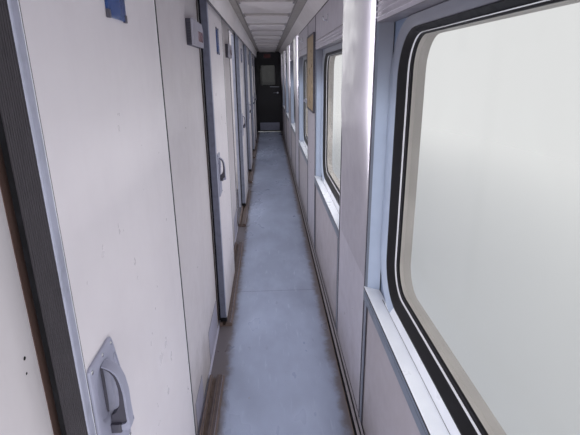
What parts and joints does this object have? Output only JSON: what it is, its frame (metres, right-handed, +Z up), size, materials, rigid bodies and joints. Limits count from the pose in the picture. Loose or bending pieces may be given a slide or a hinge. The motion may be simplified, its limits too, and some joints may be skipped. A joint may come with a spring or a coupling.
{
  "type": "side corridor section of a passenger coach",
  "caption": "Length of sleeping-coach side corridor with underframe, window wall, roof strip, compartment partition with sliding doors, and end door.",
  "frame": {"origin": "middle of the underframe's lower face", "axes": "+Y along the corridor towards the end door, +X towards the windows, +Z up"},
  "size_m": [1.12, 12.3, 3.0017],
  "materials": {
    "steel_primer": "satin",
    "galvanised": "satin",
    "plywood": "matte",
    "floor_vinyl": "satin",
    "coach_paint": "satin",
    "roof_paint": "matte",
    "seal_rubber": "matte",
    "window_glass": "clear",
    "reveal_paint": "satin",
    "sill_aluminium": "satin",
    "bare_aluminium": "brushed",
    "wall_laminate": "gloss",
    "strip_aluminium": "satin",
    "brown_laminate": "satin",
    "chrome": "polished",
    "brown_strip": "satin",
    "door_laminate": "satin",
    "ceiling_laminate": "satin",
    "box_grey": "satin",
    "notice_brown": "satin",
    "end_wall_paint": "satin",
    "sign_red": "satin",
    "end_door_paint": "satin",
    "dark_glass": "clear"
  },
  "bodies": {
    "coach_section": {"underframe": "steel_primer", "underframe_bearers": "steel_primer", "floor_pan": "galvanised", "floor_boards": "plywood", "floor_covering": "floor_vinyl", "side_waist": "coach_paint", "window_band": "coach_paint", "roof_skin": "roof_paint", "roof_ribs": "galvanised", "window_seals": "seal_rubber", "window_glass": "window_glass", "window_frames": "reveal_paint", "window_sills": "sill_aluminium", "window_casings": "reveal_paint", "window_casing_heads": "reveal_paint", "drop_window_transom": "bare_aluminium", "pillar_linings": "wall_laminate", "seam_strips": "strip_aluminium", "sill_linings": "brown_laminate", "header_linings": "wall_laminate", "coat_hooks": "chrome", "skirting_rail": "brown_strip", "partition_panels": "door_laminate", "doorway_posts": "strip_aluminium", "doorway_headers": "door_laminate", "cross_wall_stubs": "door_laminate", "door_tracks": "bare_aluminium", "guide_rails": "brown_strip", "ceiling_tray": "ceiling_laminate", "ceiling_panels": "ceiling_laminate", "track_pelmet": "ceiling_laminate", "ceiling_cove": "ceiling_laminate", "number_boxes": "box_grey", "notice_board": "notice_brown", "end_wall": "end_wall_paint", "end_door_frame": "end_wall_paint", "exit_sign": "sign_red"},
    "door_1": {"door_1_leaf": "door_laminate", "door_1_fittings": "strip_aluminium"},
    "door_2": {"door_2_leaf": "door_laminate", "door_2_fittings": "strip_aluminium"},
    "door_3": {"door_3_leaf": "door_laminate", "door_3_fittings": "strip_aluminium"},
    "door_4": {"door_4_leaf": "door_laminate", "door_4_fittings": "strip_aluminium"},
    "door_5": {"door_5_leaf": "door_laminate", "door_5_fittings": "strip_aluminium"},
    "door_6": {"door_6_leaf": "door_laminate", "door_6_fittings": "strip_aluminium"},
    "end_door": {"end_door_leaf": "end_door_paint", "end_door_glass": "dark_glass", "end_door_rail": "bare_aluminium"}
  },
  "joints": [
    {"name": "door_1_slide", "type": "slide", "parent": "coach_section", "child": "door_1", "axis": [0, 1, 0], "range_m": [0, 0.665]},
    {"name": "door_2_slide", "type": "slide", "parent": "coach_section", "child": "door_2", "axis": [0, 1, 0], "range_m": [0, 0.665]},
    {"name": "door_3_slide", "type": "slide", "parent": "coach_section", "child": "door_3", "axis": [0, 1, 0], "range_m": [-0.665, 0]},
    {"name": "door_4_slide", "type": "slide", "parent": "coach_section", "child": "door_4", "axis": [0, 1, 0], "range_m": [-0.665, 0]},
    {"name": "door_5_slide", "type": "slide", "parent": "coach_section", "child": "door_5", "axis": [0, 1, 0], "range_m": [-0.665, 0]},
    {"name": "door_6_slide", "type": "slide", "parent": "coach_section", "child": "door_6", "axis": [0, 1, 0], "range_m": [0, 0.665]},
    {"name": "end_door_hinge", "type": "hinge", "parent": "coach_section", "child": "end_door", "pos_m": [-0.221, 6.12, 0.2], "axis": [0, 0, 1], "range_deg": [0, 90]}
  ]
}
